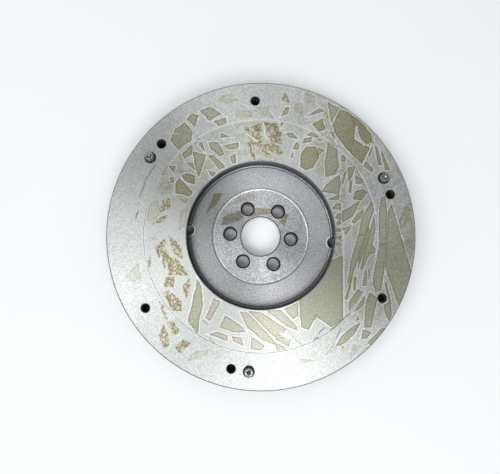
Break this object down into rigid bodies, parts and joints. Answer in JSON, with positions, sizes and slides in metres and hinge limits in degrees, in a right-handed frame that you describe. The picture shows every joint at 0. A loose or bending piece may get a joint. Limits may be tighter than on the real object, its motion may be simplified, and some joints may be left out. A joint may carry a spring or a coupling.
{
  "type": "clutch flywheel",
  "caption": "Turned flywheel with a flat friction face, a recess round the crankshaft bolts, tapped holes and standing dowels for the clutch cover, and a starter ring gear on the engine side.",
  "frame": {"origin": "centre of the crankshaft mounting face, on the axis of rotation, which is also the plane the flywheel rests on", "axes": "+Z along the axis of rotation, towards the clutch; +X through one crankshaft bolt hole and one drain hole"},
  "size_m": [0.27, 0.27, 0.0375],
  "materials": {
    "disc": "fine turned, with a dried oil film",
    "ring_gear": "heat treated",
    "dowel": "ground"
  },
  "bodies": {
    "root": {"flywheel_disc": "disc", "starter_ring_gear": "ring_gear", "cover_dowel_1": "dowel", "cover_dowel_2": "dowel", "cover_dowel_3": "dowel"}
  },
  "joints": []
}
